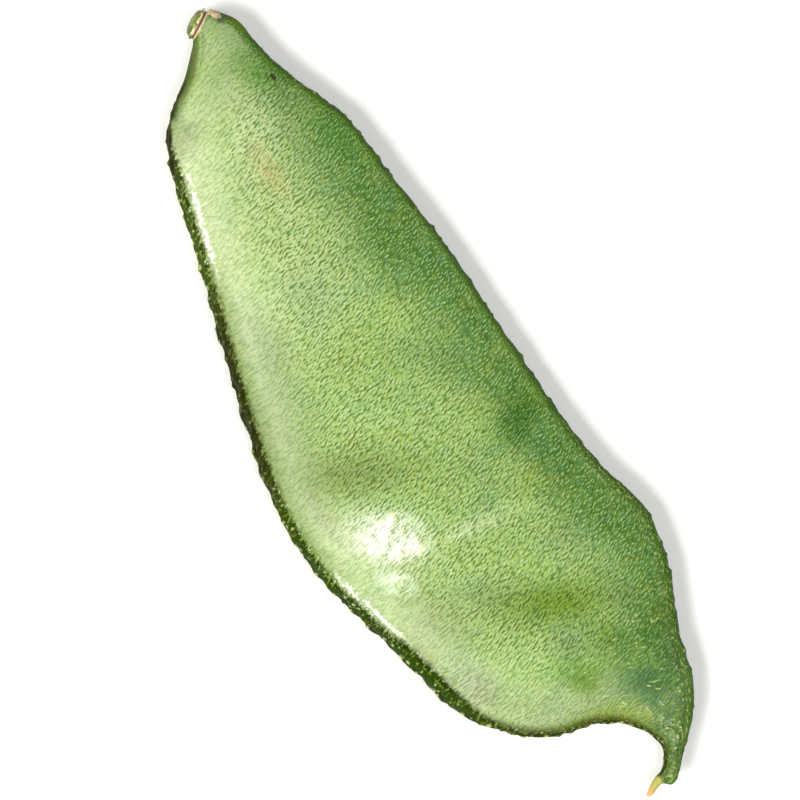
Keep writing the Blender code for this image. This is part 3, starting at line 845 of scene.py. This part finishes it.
class Skin(Graph):
    """The pod's skin: each method lays a part of its look over the colour so far, from first to last."""

    def __init__(self):
        super().__init__("pod skin")
        self.places = self.plan()
        self.grain = self.attribute("skin", "Vector")
        self.low_away = self.attribute("low_away")
        self.high_away = self.attribute("high_away")
        split = self.add("ShaderNodeSeparateXYZ", {0: self.places}).outputs
        self.x, self.y = split["X"], split["Y"]
        self.not_beak = self.along(BEFORE_BEAK)
        self.mottle = self.noise(self.scaled(self.places, (0.12, 0.09, 0.12)), 1.0)
        self.blotch = self.grained(0.9, 1.4, detail=3.0)
        self.broad_colour()
        self.wax_and_sheen()
        self.wrinkles()
        self.dips_and_spots()
        self.beside_low_rib()
        self.low_rib()
        self.high_rib()
        self.small_warts()
        self.stem_end()
        self.style()
        self.shade(Base_Color=self.colour)
        self.gloss()

    def lay(self, share, colour, blend="MIX"):
        self.colour = self.mix(share, self.colour, colour, blend)

    def along(self, ends, low=0.0, high=1.0):
        return self.ramp(self.x, *ends, low, high)

    def within(self, stretch):
        return self.band(self.x, *stretch)

    def grained(self, along, across, detail=2.0, roughness=0.6, shift=0.0):
        """Noise on the skin's grain, with about so many waves to a millimetre along and across."""
        spread = self.scaled(self.grain, (along, across, 1.0), (shift, 0.0, 0.0))
        return self.noise(spread, 1.0, detail, roughness)

    def oval(self, middle, reach, lean):
        """1 in the middle of an oval of the plan and 0 outside it."""
        moved = self.scaled(self.places, (1.0, 1.0, 0.0), (-middle[0], -middle[1], 0.0))
        turned = self.add(
            "ShaderNodeVectorRotate", {"Vector": moved, "Angle": -lean}, rotation_type="Z_AXIS"
        ).outputs[0]
        sized = self.scaled(turned, (1 / reach[0], 1 / reach[1], 0.0))
        far = self.add("ShaderNodeVectorMath", {0: sized}, operation="LENGTH").outputs["Value"]
        return self.ramp(far, 0.0, 1.0, low=1.0, high=0.0)

    def broad_colour(self):
        """Pale to past the middle and deeper green by the high margin, partly the skin's own colour and
        partly painted shade of the side turned from the lamp; deep in the beak, with soft mottling.
        """
        level = self.maths("ADD", self.high_away, self.ramp(self.mottle, 0.3, 0.7, low=1.5, high=-1.5))
        # deeper towards the high margin: partly the skin's own colour, partly painted shade
        self.deep_and_shade = self.ramp(level, *DEEP_AND_SHADE_BY_HIGH)
        self.colour = self.mix(self.deep_and_shade, PALE_GREEN, DEEP_GREEN_AND_SHADE)
        hue = self.noise(self.scaled(self.places, (0.25, 0.18, 0.2), (7.0, 3.0, 0.0)), 1.0, detail=3.0)
        self.lay(self.ramp(hue, 0.5, 0.75, high=0.5), BLUE_GREEN)
        self.lay(self.ramp(hue, 0.5, 0.25, high=0.5), YELLOW_GREEN)
        self.lay(self.along(BEAK, high=0.85), BEAK_GREEN)
        uneven = self.ramp(self.noise(self.places, 0.9, detail=3.0, roughness=0.6), 0.35, 0.6)
        self.lay(self.times(self.along(NECK), self.line(uneven, 0.4, 0.58)), NECK_GREEN)

    def wax_and_sheen(self):
        """Pale from the low margin on, and bloom along that margin, both partly the skin's waxy bloom and
        partly painted sheen of the lamp on that side, and painted highlights at single places.
        """
        # painted sheen of the lamp on the low side, with the skin's waxy bloom
        level = self.maths("ADD", self.low_away, self.along(WAX_SHEEN_NARROWS, high=4.5))
        share = self.times(
            self.ramp(level, *WAX_SHEEN_BY_LOW, high=0.42),
            self.ramp(self.mottle, 0.3, 0.6, low=0.6),
            self.along(WAX_SHEEN_THINS, low=1.0, high=0.35),
        )
        self.lay(self.times(share, self.not_beak), WAX_AND_SHEEN)
        # whiter along the low margin: waxy bloom and painted sheen
        by_edge = self.ramp(self.low_away, *BLOOM_SHEEN_BY_LOW, high=0.30)
        self.lay(self.times(by_edge, self.within(EDGE_BLOOM_SHEEN)), BLOOM_AND_SHEEN)
        # painted highlights
        for *oval, share in PAINTED_HIGHLIGHTS:
            self.lay(self.times(self.oval(*oval), share), WAX_AND_SHEEN)
        # painted highlight of the hot spot
        self.lay(self.times(self.oval(*HOT_SPOT_HIGHLIGHT), 0.75), BLOOM_AND_SHEEN)
        by_edge = self.ramp(self.low_away, *OLIVE_BY_LOW, high=0.75)
        self.lay(self.times(by_edge, self.within(BAY)), BAY_OLIVE)

    def wrinkles(self):
        """Fine wrinkles across the pod: short swellings with painted highlight on their tops and painted
        shade in the gaps, fainter near the low rib.
        """
        bend = self.scaled(self.noise(self.grain, 0.9, detail=1.0, output="Color"), (0.25, 0.3, 0.0))
        bent = self.add("ShaderNodeVectorMath", {0: self.grain, 1: bend}, operation="ADD").outputs[0]
        cells = self.add(
            "ShaderNodeTexVoronoi",
            {"Vector": self.scaled(bent, (1 / SWELLING[0], 1 / SWELLING[1], 0.0)), "Scale": 1.0},
            voronoi_dimensions="2D",
        ).outputs
        strokes = self.add(
            "ShaderNodeTexGabor",
            {"Vector": self.grain, "Scale": 1 / STROKE_SIZE, "Frequency": STROKE_WAVES,
             "Anisotropy": STROKE_STRAIGHT, "Orientation": 0.0},
            gabor_type="2D",
        ).outputs["Value"]
        self.height = self.line(cells["Distance"], -0.42, self.line(strokes, 0.95, 0.20))
        self.clear = self.most(
            self.ramp(self.low_away, *CLEAR_BY_LOW, low=0.35),
            self.along(FINE_BY_STALK, high=0.45),
            self.along(FINE_BY_LOBE, high=0.6),
        )
        # painted shade in the gaps
        self.lay(self.times(self.ramp(self.height, 0.52, 0.28, high=0.9), self.clear), GAP_SHADE)
        # painted highlight on the tops
        top_highlight_share = self.times(self.along(TOP_HIGHLIGHT_FAINTER, low=0.6, high=0.3), self.clear)
        pale = self.mix(self.deep_and_shade, WAX_AND_SHEEN, DEEP_TOP_HIGHLIGHT)
        self.lay(self.times(self.ramp(self.height, 0.48, 0.75), top_highlight_share), pale)
        self.own = self.add("ShaderNodeSeparateColor", {0: cells["Color"]}).outputs
        self.lay(self.ramp(self.own["Red"], 0.5, 1.0, high=0.28), YELLOW_GREEN)
        self.lay(self.ramp(self.own["Green"], 0.5, 1.0, high=0.28), BLUE_GREEN)

    def dips_and_spots(self):
        """Painted shade in hollows and other darker places, partly the skin's own olive, then the rubbed
        tan patch and a brown speck.
        """
        # painted shade, partly the skin's own olive
        for *oval, tint in DIPS_AND_SHADE:
            self.lay(self.oval(*oval), tint, "MULTIPLY")
        grainy = self.ramp(self.own["Blue"], 0.1, 0.9, low=0.15, high=0.6)
        self.lay(self.times(self.oval(*TAN_OVAL), grainy), TAN)
        self.lay(self.maths("MULTIPLY", self.oval(*SPECK_OVAL), 2.0, clamp=True), BROWN)

    def beside_low_rib(self):
        """A painted highlight line over the low rib's crest in two stretches, and painted shade beside
        the crest in the others.
        """
        self.comb = self.grained(3.4, 0.9)
        narrow = self.maths(
            "ADD", self.along(NARROW_BY_STALK, high=0.7), self.along(NARROW_IN_BAY, high=0.5)
        )
        sized = self.line(self.within(RIB_WIDER), -0.45, narrow)
        frayed = self.line(self.comb, 1.0, -0.5)
        self.low_seen = self.maths("ADD", self.maths("ADD", self.low_away, sized), frayed)
        bright = self.maths("ADD", *map(self.within, RIB_BRIGHT))
        # painted shade beside the crest
        crest_shade = self.times(self.line(bright, -0.85, 1.0), self.within(SHADE_BESIDE))
        self.lay(self.times(self.ramp(self.low_away, *SHADE_BY_LOW), crest_shade), SHADE_TINT, "MULTIPLY")
        # painted highlight line on the crest
        crest = self.times(self.band(self.low_seen, *CREST_HIGHLIGHT_LINE), self.line(bright, 0.9, 0.05))
        broken = self.ramp(self.grained(0.9, 1.6, detail=3.0), 0.40, 0.52)
        self.lay(self.times(crest, broken, self.not_beak), CREST_HIGHLIGHT)

    def low_rib(self):
        """Green and brown-black, with fine strokes across and pale glints, and browner in the bay."""
        browner = self.times(self.ramp(self.low_seen, *BROWNER_WALL), self.ramp(self.blotch, 0.38, 0.54))
        self.black = self.times(
            self.within(RIB_BLACK), self.ramp(self.blotch, 0.30, 0.48, low=0.3, high=0.9)
        )
        colour = self.mix(self.along(LOW_RIB_DEEPER), LOW_RIB, LOW_RIB_DEEP)
        colour = self.mix(self.most(browner, self.black), colour, LOW_RIB_BROWN)
        teeth = self.times(
            self.ramp(self.comb, 0.52, 0.62),
            self.line(self.black, -0.6, 0.8),
            self.ramp(self.low_seen, *TOOTH_WALL, low=0.25),
        )
        colour = self.mix(teeth, colour, LOW_TOOTH)
        bay_rim = self.mix(self.ramp(self.blotch, 0.42, 0.58), LOW_RIB, BAY_BROWN)
        in_beak = self.mix(self.not_beak, bay_rim, self.colour)
        self.lay(self.ramp(self.low_away, *BAY_WALL, high=0.85), in_beak)
        self.lay(self.ramp(self.low_seen, *LOW_RIB_WALL), colour)
        glint = self.times(
            self.ramp(self.grained(3.0, 1.5, shift=5.0), 0.58, 0.70, high=0.8),
            self.band(self.low_seen, *GLINT_LINE),
            self.line(self.black, -0.9, 1.0),
        )
        self.lay(self.times(glint, self.not_beak), GLINT)

    def high_rib(self):
        """Deeper green, partly the rib's own colour and partly painted shade where the edge curves away;
        wider past the middle, with paler beads on its inner side there.
        """
        seen = self.maths("SUBTRACT", self.high_away, self.along(HIGH_RIB_WIDER, high=0.35))
        fainter = self.along(HIGH_RIB_FAINTER, low=0.9, high=0.45)
        # partly painted shade where the edge curves away
        share = self.times(self.ramp(seen, *HIGH_RIB_WALL), fainter)
        self.lay(share, self.mix(self.ramp(self.blotch, 0.50, 0.68, high=0.7), HIGH_RIB_AND_SHADE, LOW_RIB_BROWN))
        bead = self.times(
            self.ramp(self.grained(2.6, 2.2), 0.54, 0.64, high=0.5),
            self.band(self.high_away, *BEAD_LINE),
            self.along(BEADED, low=0.25),
        )
        self.lay(bead, WART)

    def small_warts(self):
        """Pale speckles round the bay, and the paler tops of all warts."""
        in_bay = self.times(self.band(self.low_away, *SPECKLE_LINE), self.along(SPECKLED, high=0.6))
        speckles = self.ramp(self.grained(3.6, 3.2, shift=9.0), 0.56, 0.68)
        self.lay(self.times(in_bay, speckles), SPECKLE)
        tops = self.ramp(self.attribute("wart"), 0.45, 0.90, high=0.75)
        self.lay(self.times(tops, self.line(self.black, -0.9, 1.0)), WART)

    def stem_end(self):
        """Deeper green along both margins, partly painted shade where the edges curve away, a painted
        grey-green shade by the stalk, and tan where the calyx tore off.
        """
        side = self.maths("MINIMUM", self.low_away, self.maths("ADD", self.high_away, 0.6))
        # partly painted shade where the edges curve away
        edge = self.times(self.ramp(side, *STEM_WALL, high=0.85), self.along(STEM_END))
        self.lay(edge, self.mix(self.ramp(self.blotch, 0.42, 0.60), HIGH_RIB_AND_SHADE, STEM_OLIVE))
        thin = self.times(self.ramp(self.low_away, *BROWN_WALL, high=0.8), self.within(BROWN_EDGE))
        self.lay(thin, LOW_RIB_BROWN)
        self.lay(self.oval(*OLIVE_OVAL), OLIVE)
        # painted shade by the stalk
        self.lay(self.oval(*SHADE_OVAL), STEM_SHADE)
        ragged = self.ramp(self.noise(self.places, 2.4, detail=3.0, roughness=0.6), 0.35, 0.65, high=0.8)
        torn = self.times(self.oval(*TORN_OVAL), 1.8)
        self.lay(self.maths("SUBTRACT", torn, ragged, clamp=True), STEM_TAN)

    def style(self):
        """Yellow-green, then peach at its tip."""
        on_style = self.ramp(self.oval(*STYLE_OVAL), 0.15, 0.4)
        self.lay(self.times(on_style, self.ramp(self.y, *STYLE_STARTS)), STYLE_GREEN)
        self.lay(self.times(on_style, self.ramp(self.y, *STYLE_ENDS)), STYLE_TIP)

    def gloss(self):
        """Where the bloom is rubbed off the skin is smoother and shines, as it does in the beak."""
        ovals = [self.times(self.oval(*oval), share) for *oval, share in RUBBED]
        ragged = self.ramp(self.grained(1.1, 0.7, detail=4.0, roughness=0.65), 0.34, 0.56)
        rubbed = self.times(self.ramp(self.most(*ovals), 0.1, 0.7), ragged)
        rib = self.maths("MINIMUM", self.low_away, self.high_away)
        open_skin = self.ramp(rib, *OPEN_SKIN)
        rough = self.maths(
            "SUBTRACT", self.ramp(self.height, 0.25, 0.75, low=0.60, high=0.48), self.times(rubbed, 0.20)
        )
        shine = self.line(self.within(BEAK_SHINE), 0.20, 0.05)
        self.shade(
            Roughness=self.maths("ADD", rough, self.line(open_skin, -0.12, 0.12)),
            Specular_IOR_Level=0.28,
            Specular_Tint=self.mix(open_skin, RIB_SHEEN, WHITE),
            Coat_Weight=self.times(open_skin, self.most(shine, self.times(rubbed, 0.9))),
            Coat_Roughness=0.20,
        )
        flatter = self.ramp(rubbed, 0.0, 1.0, low=1.0, high=0.38)
        self.bump(self.times(self.height, self.clear, flatter), SKIN_BUMP)


def rim_material():
    """Tan next to the pod, then cream with a brown gap between its two folds."""
    g = Graph("dry calyx")
    plan = g.plan()
    streak = g.noise(g.scaled(plan, (2.0, 2.0, 2.0)), 1.0, detail=4.0, roughness=0.6)
    from_start = g.scaled(plan, (1.0, 1.0, 0.0), (-AXIS_FROM[0], -AXIS_FROM[1], 0.0))
    out = g.add(
        "ShaderNodeVectorMath", {0: from_start, 1: (*AXIS, 0.0)}, operation="DOT_PRODUCT"
    ).outputs["Value"]
    cream = g.mix(g.ramp(streak, 0.35, 0.6), RIM_BROWN, RIM_CREAM)
    gap = g.times(g.ramp(out, 0.20, 0.30), g.ramp(out, 0.50, 0.42))
    colour = g.mix(g.ramp(out, 0.30, 0.22), cream, STEM_TAN)
    g.shade(Base_Color=g.mix(gap, colour, RIM_BROWN), Roughness=0.7)
    g.bump(streak, RIM_BUMP)
    return g.material


def stalk_material():
    g = Graph("stalk skin")
    streak = g.noise(g.scaled(g.plan(), (1.6, 1.6, 1.6)), 1.0, detail=3.0, roughness=0.6)
    g.shade(Base_Color=g.mix(g.ramp(streak, 0.35, 0.65), STALK_DARK, STALK_LIGHT), Roughness=0.42)
    g.bump(streak, STALK_BUMP)
    return g.material


# The camera, tilted from straight above, with the pod's length turned in its picture
CAMERA_TURN, CAMERA_TILT = math.radians(58.0), math.radians(15.0)
CAMERA_TARGET = Vector((-1.56, 0.735, 2.9))
LENS, SENSOR = 200.0, 36.0
FRAME_WIDTH = 74.94  # of what the picture shows at the target
NEAREST, FARTHEST = 0.01, 20.0

# Lights: name, direction, distance, size, power and colour
LIGHTS = (
    ("key", (0.00, -0.66, 0.75), 0.7, (0.30, 0.20), 5.3, (1.0, 0.985, 0.95)),
    ("top", (0.22, -0.05, 0.97), 0.5, (0.16, 0.10), 1.15, WHITE),
)
SKY_STRENGTH = 0.32
FLOOR_HALF = 3.0
FLOOR_COLOUR = (0.90, 0.90, 0.89)


def add_camera():
    turn, tilt = CAMERA_TURN, CAMERA_TILT
    back = Vector((0.0, -math.sin(tilt), math.cos(tilt)))
    right = Vector((math.cos(turn), math.sin(turn) * math.cos(tilt), math.sin(turn) * math.sin(tilt)))
    up = back.cross(right)
    data = bpy.data.cameras.new("camera")
    data.lens = LENS
    data.sensor_width = SENSOR
    data.clip_start = NEAREST
    data.clip_end = FARTHEST
    camera = bpy.data.objects.new("camera", data)
    place = (CAMERA_TARGET + back * (FRAME_WIDTH * LENS / SENSOR)) * MM
    turned = Matrix((right, up, back)).transposed().to_4x4()
    camera.matrix_world = Matrix.Translation(place) @ turned
    bpy.context.scene.collection.objects.link(camera)
    bpy.context.scene.camera = camera


def add_light(name, direction, far, size, power, colour):
    data = bpy.data.lights.new(name, "AREA")
    data.shape = "RECTANGLE"
    data.size, data.size_y = size
    data.energy = power
    data.color = colour
    lamp = bpy.data.objects.new(name, data)
    way = Vector(direction).normalized()
    lamp.location = way * far
    lamp.rotation_euler = (-way).to_track_quat("-Z", "Y").to_euler()
    bpy.context.scene.collection.objects.link(lamp)


def add_studio():
    g = Graph("floor")
    g.shade(Base_Color=FLOOR_COLOUR, Roughness=0.9)
    corners = [(x * FLOOR_HALF, y * FLOOR_HALF, 0.0) for x, y in ((-1, -1), (1, -1), (1, 1), (-1, 1))]
    floor = add_piece("floor", corners, [(0, 1, 2, 3)], g.material)
    for light in LIGHTS:
        add_light(*light)
    sky = bpy.data.worlds.new("sky")
    sky.use_nodes = True
    background = sky.node_tree.nodes["Background"]
    background.inputs["Color"].default_value = (*WHITE, 1.0)
    background.inputs["Strength"].default_value = SKY_STRENGTH
    bpy.context.scene.world = sky
    bpy.context.scene.view_settings.view_transform = "Standard"


def main():
    pod = build_pod(Skin().material)
    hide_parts("pod")
    rim = turned_piece("calyx_rim", rim_material(), **RIM)
    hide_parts("calyx")
    stub = turned_piece("stalk_stub", stalk_material(), **STUB)
    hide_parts("stalk")
    for piece in (pod, rim, stub):
        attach(piece, "root")
    add_camera()
    add_studio()


main()
